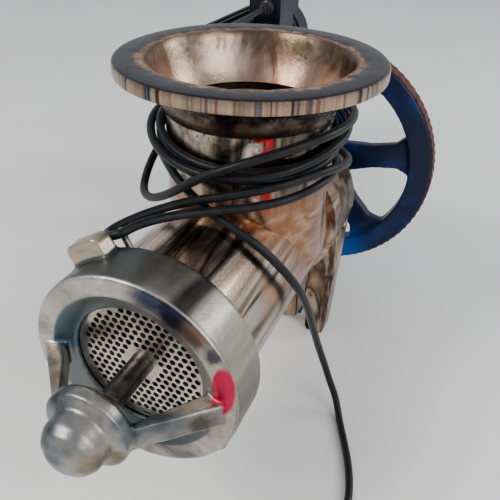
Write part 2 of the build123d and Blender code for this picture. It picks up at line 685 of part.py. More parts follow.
def coil_tie():
    half = COIL_TURNS_WIDE * CORD_R
    height = 2 * CORD_R * COIL_TURNS_HIGH
    y0 = COIL_Y - COIL_R
    wall = 1.5
    reach = half + wall
    strap = block(COIL_X - 4, COIL_X + 4, y0 - reach, y0 + reach, FLOOR_Z, FLOOR_Z + height + wall)
    inside = FLOOR_Z + height + FIT
    return strap - block(COIL_X - 5, COIL_X + 5, y0 - half - FIT, y0 + half + FIT, FLOOR_Z - 1, inside)


def plug_body():
    body = Pos(PLUG_X, PLUG_Y, PLUG_Z) * Box(26, 34, 20)
    body = fillet(body.edges().filter_by(Axis.Y), 6)
    tail = Pos(PLUG_X, PLUG_Y - 24, PLUG_Z) * Rot(90, 0, 0) * Cone(7, 4.4, 18)
    return body + tail


def plug_pins():
    return group([rod(2.4, PLUG_Y + 17, PLUG_Y + 36, PLUG_X + side * 6.5, PLUG_Z) for side in (-1, 1)])


def write(name, shape):
    placed = Pos(0, -PEDESTAL_Y, SHAFT_HEIGHT) * shape
    placed.label = name
    export_step(placed, f"parts/{name}.step")


SINGLES = [
    grinder_body, hopper_bowl, lock_stud, plate_key, ring_nut, nose_bridge, slip_washer, perforated_plate,
    cutting_knife, worm_screw, drive_shaft, wheel_key, rear_housing, housing_bolts, bearing_cap,
    cap_screws, shaft_seal, bearing_spacer, pulley_wheel, shaft_washer, shaft_nut, v_belt,
    pedestal, pedestal_bolts, base_plate, motor_stand, motor_casing, motor_bolts, front_end_bell,
    rear_end_bell, fan_cowl, cooling_fan, motor_shaft, motor_key, rotor_core, stator_core,
    motor_pulley, terminal_box, terminal_lid, toggle_switch, toggle_lever, cable_gland,
    cord_lead, cord_winding, cord_front_loop, cord_tail, cord_coil, coil_tie, plug_body, plug_pins,
]


def main():
    os.makedirs("parts", exist_ok=True)
    for make in SINGLES:
        write(make.__name__, make())
    races = {
        "front_bearing": (BEARING_STARTS[0], BEARING_WIDTH, SHAFT_R, BEARING_R, 0.0, 0.0),
        "rear_bearing": (BEARING_STARTS[1], BEARING_WIDTH, SHAFT_R, BEARING_R, 0.0, 0.0),
        "motor_front_bearing": (223.0, 10.0, MOTOR_SHAFT_R, MOTOR_BEARING_R, MOTOR_X, MOTOR_Z),
        "motor_rear_bearing": (CASING_REAR_Y, 10.0, MOTOR_SHAFT_R, MOTOR_BEARING_R, MOTOR_X, MOTOR_Z),
    }
    for name, sizes in races.items():
        outer, inner, balls = bearing_parts(*sizes)
        write(name + "_outer_race", outer)
        write(name + "_inner_race", inner)
        if name in ("front_bearing", "rear_bearing"):
            write(name + "_balls", balls)


main()
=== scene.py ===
import json
import math

import bmesh
import bpy
from bpy.props import FloatProperty, FloatVectorProperty, IntProperty, PointerProperty
from mathutils import Matrix, Vector


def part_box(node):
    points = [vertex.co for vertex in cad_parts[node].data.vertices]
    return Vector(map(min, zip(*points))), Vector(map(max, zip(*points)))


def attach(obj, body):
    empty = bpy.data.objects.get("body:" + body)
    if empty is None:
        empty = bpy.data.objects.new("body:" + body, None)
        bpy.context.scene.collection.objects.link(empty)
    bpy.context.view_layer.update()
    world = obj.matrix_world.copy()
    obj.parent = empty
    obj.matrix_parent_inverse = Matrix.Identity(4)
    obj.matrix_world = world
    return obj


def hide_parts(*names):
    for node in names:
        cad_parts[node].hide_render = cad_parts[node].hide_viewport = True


bl_info = {
    "name": "Belt-driven meat grinder",
    "version": (1, 0, 0),
    "blender": (4, 5, 0),
    "location": "View3D > Sidebar > Grinder",
    "description": "Finishes, castings, belt and mains lead for a belt-driven meat grinder",
    "category": "Object",
}

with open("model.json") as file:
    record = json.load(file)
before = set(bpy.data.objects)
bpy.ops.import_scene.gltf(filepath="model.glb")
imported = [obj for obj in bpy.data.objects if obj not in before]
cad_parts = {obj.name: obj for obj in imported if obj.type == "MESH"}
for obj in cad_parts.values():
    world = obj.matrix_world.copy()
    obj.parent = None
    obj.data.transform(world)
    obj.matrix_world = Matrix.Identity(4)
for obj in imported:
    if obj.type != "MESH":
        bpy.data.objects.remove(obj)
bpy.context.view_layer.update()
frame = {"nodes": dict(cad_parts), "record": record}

MM = 0.001
SHAFT = Vector((0.0, -0.145, 0.165))
MOTOR_X = -0.160
MOTOR_Z = 0.223
# sizes of the CAD that the finishes follow
NECK_R = 0.064
BARREL_TOP_Z = SHAFT.z + 0.061
RIM_R = 0.100
RIM_TOP_Z = SHAFT.z + 0.157
BOWL_R = 0.077
RING_R = 0.074
RING_MOUTH_R = 0.060
RING_WINDOW_R = 0.0465
RING_FRONT_Y = SHAFT.y - 0.181
# the share of x, y and z in a distance from a line: the zero is the line's own direction
UPRIGHT = (1.0, 1.0, 0.0)
ALONG_SHAFT = (1.0, 0.0, 1.0)


def place(x, y, z):
    """A drawing point in millimetres, measured from where hopper and shaft axes cross."""
    return SHAFT + Vector((x, y, z)) * MM


# ---- sizes and colours a user would change ----
class GrinderSizes(bpy.types.PropertyGroup):
    cord_diameter: FloatProperty(name="Cord diameter", description="Outside diameter of the mains lead",
                                 default=0.0065, min=0.004, max=0.01, unit="LENGTH")
    cog_count: IntProperty(name="Belt cogs", description="Number of cogs round the belt",
                           default=100, min=40, max=200)
    cog_depth: FloatProperty(name="Cog depth", description="Depth of the gaps between the belt's cogs",
                             default=0.0028, min=0.0, max=0.005, unit="LENGTH")
    cast_voxel: FloatProperty(name="Casting detail", description="Grain of the softened castings",
                              default=0.0013, min=0.0008, max=0.004, unit="LENGTH")
    rim_wave: FloatProperty(name="Rim wave", description="How far the hopper's rim is out of true",
                            default=0.0004, min=0.0, max=0.002, unit="LENGTH")


def colour(name, description, default):
    return FloatVectorProperty(name=name, description=description, subtype="COLOR", default=default,
                               min=0.0, max=1.0)


class GrinderColours(bpy.types.PropertyGroup):
    # steel_light, steel_mid and steel_dark are the tones of the painted reflection streaks on the body;
    # steel_dark also colours its pits and the painted shade on the neck
    steel_light: colour("Steel, light", "Bright tone of the polished body", (0.58, 0.50, 0.41))
    steel_mid: colour("Steel, middle", "Middle tone of the polished body", (0.24, 0.175, 0.125))
    steel_dark: colour("Steel, dark", "Dark tone of the polished body", (0.016, 0.013, 0.012))
    steel_warm: colour("Steel, heat tint", "Warm tint in the polished body", (0.42, 0.19, 0.08))
    # the rim tone is a painted dark reflection on the hopper rim's flat top, with dark tarnish
    rim_reflection_tarnish: colour("Tarnish", "Dark skin on the hopper's rim", (0.004, 0.005, 0.010))
    casting: colour("Nut casting", "Satin tone of the ring nut", (0.33, 0.295, 0.26))
    wheel_blue: colour("Wheel enamel", "Enamel of the pulley wheel", (0.002, 0.010, 0.045))
    motor_navy: colour("Motor enamel", "Enamel of the motor", (0.003, 0.005, 0.016))
    belt_maroon: colour("Belt rubber", "Rubber of the drive belt", (0.040, 0.012, 0.010))
    cord_black: colour("Cord sheath", "Sheath of the mains lead", (0.005, 0.0055, 0.0065))


def sizes():
    return bpy.context.scene.grinder_sizes


def colours():
    return bpy.context.scene.grinder_colours


# ---- node helpers ----
class Finish:
    """A material's node tree, with short ways to add and join its nodes."""

    def __init__(self, name, metallic, roughness, coat=0.0, specular=0.5):
        self.material = bpy.data.materials.new(name)
        self.material.use_nodes = True
        self.nodes = self.material.node_tree.nodes
        self.links = self.material.node_tree.links
        self.shader = self.nodes["Principled BSDF"]
        self.shader.inputs["Metallic"].default_value = metallic
        self.shader.inputs["Roughness"].default_value = roughness
        self.shader.inputs["Coat Weight"].default_value = coat
        self.shader.inputs["Coat Roughness"].default_value = 0.12
        self.shader.inputs["Specular IOR Level"].default_value = specular
        self.place = self.nodes.new("ShaderNodeTexCoord").outputs["Object"]

    def add(self, kind, inputs=(), **settings):
        node = self.nodes.new(kind)
        for key, value in settings.items():
            setattr(node, key, value)
        for socket, value in dict(inputs).items():
            if isinstance(value, bpy.types.NodeSocket):
                self.links.new(value, node.inputs[socket])
            else:
                node.inputs[socket].default_value = value
        return node

    def stretched(self, scale, shift=(0.0, 0.0, 0.0)):
        """Object coordinates moved by shift and then scaled."""
        moved = self.add("ShaderNodeVectorMath", {0: self.place, 1: shift}, operation="SUBTRACT").outputs[0]
        return self.add("ShaderNodeVectorMath", {0: moved, 1: scale}, operation="MULTIPLY").outputs[0]

    def noise(self, vector, scale, detail=4.0, rough=0.55, warp=0.0):
        made = self.add("ShaderNodeTexNoise", {"Vector": vector, "Scale": scale, "Detail": detail,
                                               "Roughness": rough, "Distortion": warp})
        return made.outputs["Fac"]

    def ramp(self, factor, stops):
        node = self.add("ShaderNodeValToRGB", {"Fac": factor})
        elements = node.color_ramp.elements
        while len(elements) < len(stops):
            elements.new(0.5)
        for element, (spot, tone) in zip(elements, stops):
            element.position = spot
            element.color = (*tone[:3], 1.0) if hasattr(tone, "__len__") else (tone, tone, tone, 1.0)
        return node.outputs["Color"]

    def mix(self, factor, low, high, blend="MIX"):
        node = self.add("ShaderNodeMix", data_type="RGBA", blend_type=blend)
        for socket, value in ((0, factor), (6, low), (7, high)):
            if isinstance(value, bpy.types.NodeSocket):
                self.links.new(value, node.inputs[socket])
            elif socket:
                node.inputs[socket].default_value = (*tuple(value)[:3], 1.0)
            else:
                node.inputs[socket].default_value = value
        return node.outputs[2]

    def calc(self, operation, low, high):
        return self.add("ShaderNodeMath", {0: low, 1: high}, operation=operation).outputs[0]

    def times(self, *factors):
        product = factors[0]
        for factor in factors[1:]:
            product = self.calc("MULTIPLY", product, factor)
        return product

    def plus(self, low, high):
        return self.calc("ADD", low, high)

    def minus(self, low, high):
        return self.calc("SUBTRACT", low, high)

    def step(self, value, low, high):
        """0 below low and 1 above high, or the other way round where low is the larger."""
        node = self.add("ShaderNodeMapRange", {"Value": value, "From Min": low, "From Max": high},
                        interpolation_type="SMOOTHSTEP")
        return node.outputs[0]

    def band(self, value, outer_low, inner_low, inner_high, outer_high):
        """1 between the two inner values, 0 outside the two outer ones."""
        return self.times(self.step(value, outer_low, inner_low), self.step(value, outer_high, inner_high))

    def xyz(self, shift=(0.0, 0.0, 0.0)):
        moved = self.add("ShaderNodeVectorMath", {0: self.place, 1: shift}, operation="SUBTRACT").outputs[0]
        return self.add("ShaderNodeSeparateXYZ", {0: moved}).outputs

    def off_axis(self, shift, flat):
        """Distance from a line through shift, measured along the axes that flat weighs."""
        moved = self.add("ShaderNodeVectorMath", {0: self.place, 1: shift}, operation="SUBTRACT").outputs[0]
        kept = self.add("ShaderNodeVectorMath", {0: moved, 1: flat}, operation="MULTIPLY").outputs[0]
        return self.add("ShaderNodeVectorMath", {0: kept}, operation="LENGTH").outputs["Value"]

    def round_about(self, flat):
        """Turn round the third axis of flat, from 0 to 1."""
        return self.add("ShaderNodeTexGradient", {"Vector": flat}, gradient_type="RADIAL").outputs["Fac"]

    def paint(self, tone):
        self.links.new(tone, self.shader.inputs["Base Color"])

    def gloss(self, factor, low, high):
        node = self.add("ShaderNodeMapRange", {"Value": factor, "To Min": low, "To Max": high})
        self.links.new(node.outputs[0], self.shader.inputs["Roughness"])

    def bump(self, height, strength, distance):
        node = self.add("ShaderNodeBump", {"Height": height, "Strength": strength, "Distance": distance})
        self.links.new(node.outputs["Normal"], self.shader.inputs["Normal"])


FINISHES = {}


def polished_body():
    tone = colours()
    made = Finish("polished_body_steel", 1.0, 0.2)
    # the streaks are painted reflections, upright on the neck and lengthwise on the barrel; the pale stop in
    # the ramp is a painted highlight
    across = made.noise(made.stretched((34.0, 34.0, 3.0)), 1.0, 3.0, 0.6, 0.6)
    along = made.noise(made.stretched((30.0, 2.6, 30.0), (0.3, 0.1, 0.2)), 1.0, 3.0, 0.6, 0.5)
    gap = made.off_axis((0.0, SHAFT.y, 0.0), UPRIGHT)
    sideways, _, height = made.xyz()
    on_neck = made.times(made.step(gap, NECK_R + 0.0045, NECK_R + 0.0015),
                         made.step(height, BARREL_TOP_Z - 0.010, BARREL_TOP_Z))
    reflection_streak = made.add("ShaderNodeMix", {0: on_neck, 2: along, 3: across}, data_type="FLOAT").outputs[0]
    metal = made.ramp(reflection_streak, [(0.34, tone.steel_dark), (0.42, tone.steel_mid), (0.48, tone.steel_light),
                               (0.53, tone.steel_mid), (0.56, tone.steel_dark), (0.62, (0.74, 0.67, 0.58)),
                               (0.70, tone.steel_dark)])
    mottled = made.ramp(made.noise(made.place, 110.0, 6.0, 0.7),
                        [(0.38, (0.06, 0.052, 0.045)), (0.50, (0.24, 0.20, 0.16)),
                         (0.66, (0.42, 0.36, 0.29))])
    quiet = made.times(made.step(sideways, 0.022, -0.004), on_neck, 0.72)
    metal = made.mix(quiet, metal, mottled)
    # painted shade: the right-hand side of the neck is darkened
    side = made.times(made.step(sideways, 0.012, 0.052), on_neck)
    metal = made.mix(side, metal, made.mix(0.82, metal, tone.steel_dark, "MULTIPLY"))
    warm = made.step(made.noise(made.stretched((9.0, 7.0, 9.0), (0.7, 0.2, 0.5)), 1.6, 4.0), 0.52, 0.66)
    metal = made.mix(warm, metal, made.mix(0.75, metal, tone.steel_warm))
    # painted shadow of the cord turns where the neck meets the barrel
    cord_shadow = made.times(made.step(gap, NECK_R + 0.026, NECK_R),
                          made.step(height, BARREL_TOP_Z + 0.019, BARREL_TOP_Z - 0.004), 0.72)
    metal = made.mix(cord_shadow, metal, (0.30, 0.135, 0.065))
    pits = made.noise(made.place, 420.0, 2.0, 0.7)
    specks = made.times(made.step(pits, 0.60, 0.68), on_neck,
                        made.step(height, BARREL_TOP_Z + 0.036, BARREL_TOP_Z + 0.056))
    metal = made.mix(specks, metal, tone.steel_dark)
    # a broken upright strip of painted red reflection on the neck
    broken = made.noise(made.stretched((60.0, 60.0, 75.0), (0.02, 0.0, 0.013)), 1.0, 2.0)
    red_reflection_strip = made.times(made.step(made.off_axis((0.0335, SHAFT.y - 0.0545, 0.0), UPRIGHT), 0.0088, 0.0046),
                       made.step(height, BARREL_TOP_Z - 0.004, BARREL_TOP_Z + 0.012),
                       made.step(broken, 0.36, 0.54))
    metal = made.mix(red_reflection_strip, metal, (0.36, 0.006, 0.016))
    made.paint(metal)
    made.gloss(made.noise(made.place, 60.0, 5.0), 0.12, 0.34)
    made.bump(made.mix(0.5, made.noise(made.place, 26.0, 2.0), pits), 0.10, 0.002)
    return made.material


def tarnished_hopper():
    tone = colours()
    made = Finish("hopper_steel", 1.0, 0.3, specular=0.1)
    gap = made.off_axis((0.0, SHAFT.y, 0.0), UPRIGHT)
    height = made.xyz()[2]
    ragged = made.noise(made.place, 34.0, 6.0, 0.65, 0.4)
    edge = made.add("ShaderNodeMath", {0: ragged, 1: 0.022, 2: gap}, operation="MULTIPLY_ADD").outputs[0]
    normal = made.add("ShaderNodeNewGeometry").outputs["Normal"]
    up = made.add("ShaderNodeSeparateXYZ", {0: normal}).outputs[2]
    top = made.times(made.step(up, 0.75, 0.92), made.step(height, RIM_TOP_Z - 0.006, RIM_TOP_Z - 0.0035))
    bowl = made.noise(made.stretched((20.0, 20.0, 9.0)), 1.0, 5.0, 0.6, 0.8)
    metal = made.ramp(bowl, [(0.30, (0.11, 0.045, 0.03)), (0.42, (0.27, 0.175, 0.125)),
                             (0.56, (0.40, 0.29, 0.23)), (0.70, (0.21, 0.19, 0.16))])
    stain = made.noise(made.stretched((26.0, 26.0, 16.0), (0.2, 0.4, 0.1)), 1.0, 6.0, 0.7, 0.6)
    high = made.plus(made.times(made.minus(stain, 0.5), 0.060), height)
    stained = made.times(made.step(high, RIM_TOP_Z - 0.022, RIM_TOP_Z - 0.010), made.step(stain, 0.36, 0.56))
    metal = made.mix(stained, metal, (0.10, 0.075, 0.045))
    # the rim's outer band is painted with reflections, dark, tan and pale in blocks round it
    outside = made.step(gap, RIM_R - 0.0035, RIM_R - 0.0015)
    turned = made.round_about(made.stretched(UPRIGHT, (0.0, SHAFT.y, 0.0)))
    sweep = made.add("ShaderNodeCombineXYZ", {0: made.times(turned, 52.0)}).outputs[0]
    fine = made.noise(made.stretched((90.0, 90.0, 12.0)), 1.0, 3.0, 0.6)
    reflection_blocks = made.noise(sweep, 1.0, 2.0, 0.7)
    band = made.ramp(reflection_blocks, [(0.37, (0.010, 0.012, 0.022)), (0.40, (0.08, 0.10, 0.13)),
                              (0.43, (0.24, 0.11, 0.06)), (0.48, (0.38, 0.29, 0.22)),
                              (0.54, (0.29, 0.21, 0.12)), (0.58, (0.40, 0.29, 0.23)),
                              (0.62, (0.07, 0.04, 0.035)), (0.65, (0.012, 0.014, 0.024))])
    band = made.mix(1.0, band, made.ramp(fine, [(0.36, 0.55), (0.58, 1.0)]), "MULTIPLY")
    metal = made.mix(outside, metal, band)
    under = made.times(made.step(up, -0.3, -0.6), made.step(gap, NECK_R + 0.002, NECK_R + 0.006))
    metal = made.mix(under, metal, made.ramp(made.noise(made.place, 140.0, 5.0),
                                             [(0.42, (0.05, 0.04, 0.035)), (0.6, (0.40, 0.33, 0.27))]))
    corroded = made.times(top, made.step(edge, BOWL_R + 0.0175, BOWL_R + 0.0135))
    crust = made.ramp(made.noise(made.place, 210.0, 6.0, 0.7),
                      [(0.36, (0.04, 0.02, 0.012)), (0.55, (0.24, 0.15, 0.095)), (0.72, (0.46, 0.35, 0.26))])
    # painted near-black reflection of the dark surroundings on the rim's flat top, with dark tarnish
    dark = made.ramp(made.noise(made.place, 90.0, 6.0, 0.7),
                     [(0.35, tone.rim_reflection_tarnish), (0.64, (0.010, 0.010, 0.015)), (0.82, (0.07, 0.055, 0.05))])
    metal = made.mix(top, metal, dark)
    metal = made.mix(corroded, metal, crust)
    lip = made.times(made.band(gap, BOWL_R - 0.0025, BOWL_R - 0.0008, BOWL_R + 0.0002, BOWL_R + 0.0020),
                     made.step(height, RIM_TOP_Z - 0.010, RIM_TOP_Z - 0.004))
    metal = made.mix(lip, metal, (0.12, 0.075, 0.05))
    # the rim's flat top is made mostly non-metallic so that its painted reflection stands
    made.links.new(made.minus(1.0, made.times(top, 0.9)), made.shader.inputs["Metallic"])
    made.paint(metal)
    rough = made.plus(made.times(made.noise(made.place, 70.0, 5.0), 0.5), made.times(corroded, 0.5))
    made.gloss(rough, 0.12, 0.62)
    made.bump(made.noise(made.place, 230.0, 6.0, 0.7), 0.22, 0.0012)
    return made.material


def satin_nut():
    tone = colours()
    made = Finish("ring_nut_casting", 1.0, 0.34)
    mottle = made.noise(made.stretched((26.0, 26.0, 26.0)), 1.0, 6.0, 0.62, 0.6)
    metal = made.ramp(mottle, [(0.32, (0.12, 0.105, 0.095)), (0.45, tone.casting), (0.58, (0.50, 0.45, 0.40)),
                               (0.72, (0.27, 0.235, 0.19))])
    gap = made.off_axis((0.0, 0.0, SHAFT.z), ALONG_SHAFT)
    spot = made.xyz(SHAFT)
    depth = made.xyz()[1]
    turned = made.round_about(made.add("ShaderNodeCombineXYZ", {0: spot[0], 1: spot[2]}).outputs[0])
    blur = made.noise(made.stretched((14.0, 5.0, 14.0)), 1.0, 3.0)
    turned = made.plus(turned, made.times(made.minus(blur, 0.5), 0.06))
    # the hollow cone inside the mouth, painted with teal and grey reflections by angle round it
    cone = made.times(made.step(gap, RING_MOUTH_R + 0.0008, RING_MOUTH_R - 0.0008),
                      made.step(depth, RING_FRONT_Y - 0.0015, RING_FRONT_Y + 0.0005),
                      made.step(gap, RING_WINDOW_R - 0.0025, RING_WINDOW_R + 0.0005), 0.94)
    tint = made.ramp(turned, [(0.10, (0.13, 0.15, 0.15)), (0.26, (0.03, 0.055, 0.065)),
                              (0.40, (0.07, 0.085, 0.085)), (0.54, (0.26, 0.23, 0.205)),
                              (0.66, (0.20, 0.19, 0.175)), (0.76, (0.105, 0.12, 0.115)),
                              (0.84, (0.12, 0.155, 0.155)), (0.90, (0.055, 0.11, 0.15)),
                              (0.97, (0.05, 0.10, 0.135))])
    metal = made.mix(cone, metal, tint)
    # the turned outer wall: painted highlights and reflections, light, dark and teal, by angle round it, with
    # its grain over them
    side = made.times(made.step(gap, RING_R - 0.0025, RING_R - 0.0010),
                      made.step(depth, RING_FRONT_Y + 0.0012, RING_FRONT_Y + 0.0030), 0.92)
    wall = made.ramp(turned, [(0.10, (0.20, 0.18, 0.16)), (0.46, (0.16, 0.155, 0.14)),
                              (0.53, (0.30, 0.30, 0.25)), (0.62, (0.50, 0.49, 0.42)),
                              (0.645, (0.30, 0.28, 0.24)), (0.655, (0.012, 0.011, 0.011)),
                              (0.675, (0.02, 0.018, 0.018)), (0.69, (0.26, 0.25, 0.22)),
                              (0.74, (0.15, 0.165, 0.155)), (0.79, (0.09, 0.12, 0.12)),
                              (0.84, (0.035, 0.065, 0.072)), (0.90, (0.24, 0.22, 0.19))])
    streaks = made.noise(made.stretched((34.0, 5.0, 34.0)), 1.0, 4.0, 0.6)
    grain = made.ramp(streaks, [(0.36, 0.45), (0.62, 1.0)])
    metal = made.mix(side, metal, made.mix(1.0, wall, grain, "MULTIPLY"))
    lugs = made.step(gap, RING_R + 0.0012, RING_R + 0.0035)
    metal = made.mix(lugs, metal, made.ramp(mottle, [(0.35, (0.26, 0.21, 0.15)), (0.62, (0.50, 0.43, 0.33))]))
    # dark patches on the front face: (x, z) in mm, stretch, radii of the edge, colour
    face = made.band(depth, RING_FRONT_Y - 0.0032, RING_FRONT_Y - 0.0015, RING_FRONT_Y + 0.0006,
                     RING_FRONT_Y + 0.0018)
    ragged = made.minus(made.noise(made.place, 110.0, 5.0, 0.65), 0.5)
    for x, z, stretch, outer, inner, shade in (
            (20, 67, (1.0, 0.0, 1.7), 0.022, 0.006, (0.045, 0.055, 0.090)),
            (35, 60, (1.0, 0.0, 1.1), 0.016, 0.008, (0.018, 0.021, 0.040)),
            (46, 50, (1.0, 0.0, 1.0), 0.013, 0.004, (0.15, 0.095, 0.065)),
            (57, 40, (1.0, 0.0, 0.9), 0.0080, 0.003, (0.07, 0.060, 0.075))):
        away = made.off_axis((x * MM, 0.0, SHAFT.z + z * MM), stretch)
        away = made.plus(away, made.times(ragged, 0.010))
        metal = made.mix(made.times(made.step(away, outer, inner), face), metal, shade)
    nose = made.step(depth, RING_FRONT_Y - 0.014, RING_FRONT_Y - 0.024)
    cloud = made.noise(made.stretched((20.0, 12.0, 20.0), (0.4, 0.1, 0.3)), 1.0, 4.0)
    metal = made.mix(nose, metal, made.ramp(cloud, [(0.36, (0.025, 0.03, 0.03)), (0.44, (0.13, 0.15, 0.16)),
                                                    (0.52, (0.30, 0.285, 0.26)), (0.60, (0.20, 0.155, 0.105)),
                                                    (0.68, (0.07, 0.07, 0.065))]))
    # a pink-red painted reflection at the right-hand edge
    red_reflection_spot = made.off_axis((0.0640, 0.0, SHAFT.z + 0.014), (1.0, 0.0, 0.42))
    red_reflection_mask = made.times(made.step(red_reflection_spot, 0.0082, 0.0066),
                      made.band(depth, RING_FRONT_Y - 0.0032, RING_FRONT_Y - 0.0015, RING_FRONT_Y + 0.0016,
                                RING_FRONT_Y + 0.0028))
    metal = made.mix(red_reflection_mask, metal, made.mix(ragged, (0.46, 0.016, 0.060), (0.62, 0.05, 0.12)))
    made.paint(metal)
    made.gloss(made.noise(made.place, 120.0, 5.0), 0.22, 0.50)
    dents, sand = made.noise(made.place, 60.0, 4.0), made.noise(made.place, 600.0, 2.0)
    made.bump(made.mix(0.4, dents, sand), 0.16, 0.0015)
    return made.material


def drilled_plate():
    made = Finish("drilled_plate_steel", 1.0, 0.3)
    gap = made.off_axis((0.0, 0.0, SHAFT.z), ALONG_SHAFT)
    rings = made.add("ShaderNodeCombineXYZ", {0: made.times(gap, 900.0)}).outputs[0]
    ground = made.noise(rings, 1.0, 3.0, 0.7)
    blotch = made.noise(made.place, 70.0, 5.0, 0.6)
    metal = made.ramp(made.mix(0.6, ground, blotch), [(0.36, (0.17, 0.15, 0.13)), (0.52, (0.48, 0.44, 0.39)),
                                                      (0.66, (0.70, 0.66, 0.60))])
    made.paint(metal)
    made.gloss(blotch, 0.22, 0.46)
    made.bump(ground, 0.12, 0.0006)
    return made.material


def plain_metal(name, low, high, rough=(0.22, 0.42)):
    """Turned or cast metal with a fine tone and gloss variation."""
    made = Finish(name, 1.0, rough[0])
    cloud = made.noise(made.place, 90.0, 5.0, 0.6)
    made.paint(made.ramp(cloud, [(0.34, low), (0.66, high)]))
    made.gloss(made.noise(made.place, 36.0, 4.0), *rough)
    made.bump(made.noise(made.place, 540.0, 2.0), 0.06, 0.0008)
    return made.material


def polished_leg():
    made = Finish("polished_leg_steel", 1.0, 0.24)
    # upright streaks of painted reflection, near-black, brown and beige
    reflection_flow = made.noise(made.stretched((30.0, 30.0, 6.0)), 1.0, 4.0, 0.6, 0.5)
    made.paint(made.ramp(reflection_flow, [(0.38, (0.014, 0.012, 0.012)), (0.45, (0.20, 0.115, 0.07)),
                                (0.52, (0.44, 0.33, 0.24)), (0.57, (0.05, 0.035, 0.028)),
                                (0.66, (0.30, 0.20, 0.13))]))
    made.gloss(made.noise(made.place, 80.0, 5.0), 0.18, 0.38)
    made.bump(made.noise(made.place, 90.0, 3.0), 0.12, 0.0012)
    return made.material


def enamel(name, tone, glow, rough, floor_light=None):
    """Brushed-on enamel with slight orange peel and dust; floor_light is painted light that brightens the
    part near the floor.
    """
    made = Finish(name, 0.0, rough, coat=0.08, specular=0.22)
    cloud = made.noise(made.place, 22.0, 4.0, 0.6)
    paint = made.ramp(cloud, [(0.34, [c * 0.55 for c in tone]), (0.52, tone), (0.70, glow)])
    if floor_light:
        sideways, _, height = made.xyz()
        near = made.times(made.step(height, 0.105, 0.050), made.step(sideways, 0.085, 0.050), 0.85)
        paint = made.mix(near, paint, floor_light)
    wear = made.step(made.noise(made.place, 300.0, 4.0, 0.7), 0.70, 0.76)
    made.paint(made.mix(made.times(wear, 0.6), paint, [c * 0.5 + 0.03 for c in tone]))
    made.gloss(made.noise(made.place, 50.0, 4.0), rough * 0.8, rough * 1.6)
    made.bump(made.noise(made.place, 420.0, 2.0), 0.08, 0.0006)
    return made.material


def rubbery(name, tone, worn, rough=(0.45, 0.65), coat=0.0):
    made = Finish(name, 0.0, rough[0], coat=coat, specular=0.2)
    dust = made.noise(made.place, 120.0, 5.0, 0.65)
    made.paint(made.ramp(dust, [(0.40, tone), (0.74, worn)]))
    made.gloss(made.noise(made.place, 60.0, 4.0), *rough)
    made.bump(made.noise(made.place, 900.0, 2.0), 0.12, 0.0004)
    return made.material


def laminated():
    made = Finish("laminated_iron", 1.0, 0.45)
    sheets = made.add("ShaderNodeTexWave", {"Vector": made.place, "Scale": 420.0, "Distortion": 0.3},
                      bands_direction="Y")
    made.paint(made.ramp(sheets.outputs["Fac"], [(0.2, (0.05, 0.05, 0.055)), (0.8, (0.24, 0.24, 0.25))]))
    made.bump(sheets.outputs["Fac"], 0.3, 0.0005)
    return made.material


def make_finishes():
    tone = colours()
    blue = tuple(tone.wheel_blue)
    navy = tuple(tone.motor_navy)
    FINISHES.update({
        "body_steel": polished_body(), "hopper_steel": tarnished_hopper(), "ring_steel": satin_nut(),
        "plate_steel": drilled_plate(), "leg_steel": polished_leg(), "core_iron": laminated(),
        "tool_steel": plain_metal("tool_steel", (0.06, 0.065, 0.065), (0.24, 0.23, 0.22)),
        "shaft_steel": plain_metal("turned_shaft_steel", (0.30, 0.30, 0.31), (0.58, 0.57, 0.56),
                                   (0.18, 0.34)),
        "bearing_steel": plain_metal("bearing_steel", (0.42, 0.42, 0.43), (0.70, 0.70, 0.70), (0.10, 0.2)),
        "fastener_steel": plain_metal("zinc_fastener", (0.36, 0.36, 0.35), (0.66, 0.65, 0.60), (0.22, 0.44)),
        "aluminium": plain_metal("die_cast_aluminium", (0.45, 0.45, 0.46), (0.66, 0.66, 0.66)),
        "brass": plain_metal("plug_pin_brass", (0.42, 0.28, 0.09), (0.72, 0.52, 0.22)),
        # the wheel's last colour is painted light on its lower part, near the floor
        "wheel_paint": enamel("wheel_enamel", blue, (0.003, 0.034, 0.15), 0.32, (0.0, 0.11, 0.48)),
        "motor_paint": enamel("motor_enamel", navy, (0.006, 0.014, 0.042), 0.38),
        "stand_paint": enamel("stand_enamel", (0.03, 0.033, 0.04), (0.07, 0.075, 0.085), 0.42),
        "belt_rubber": rubbery("belt_rubber", tone.belt_maroon, (0.14, 0.055, 0.042), (0.5, 0.75)),
        "seal_rubber": rubbery("seal_rubber", (0.012, 0.012, 0.012), (0.04, 0.04, 0.04)),
        "black_plastic": rubbery("moulded_plastic", (0.012, 0.012, 0.013), (0.045, 0.045, 0.045),
                                 (0.35, 0.55), 0.2),
        "cord_pvc": rubbery("cord_sheath", tone.cord_black, (0.014, 0.014, 0.016), (0.34, 0.46)),
    })


# ---- mesh helpers ----
def piece(name, mesh, slot, body, stands_for=()):
    """Puts a finished mesh in the scene with its finish, its body and the nodes that it stands for."""
    made = bpy.data.objects.new(name, mesh)
    bpy.context.scene.collection.objects.link(made)
    made.data.materials.clear()
    made.data.materials.append(FINISHES[slot])
    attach(made, body)
    if stands_for:
        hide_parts(*stands_for)
    return made


def to_mesh(work, name, smooth_deg=40.0):
    """Closes a bmesh, points its faces outwards and shades it smooth except over sharp edges."""
    bmesh.ops.remove_doubles(work, verts=work.verts[:], dist=1e-6)
    bmesh.ops.recalc_face_normals(work, faces=work.faces[:])
    for face in work.faces:
        face.smooth = True
    for edge in work.edges:
        edge.smooth = edge.calc_face_angle(0.0) < math.radians(smooth_deg)
    mesh = bpy.data.meshes.new(name)
    work.to_mesh(mesh)
    work.free()
    return mesh


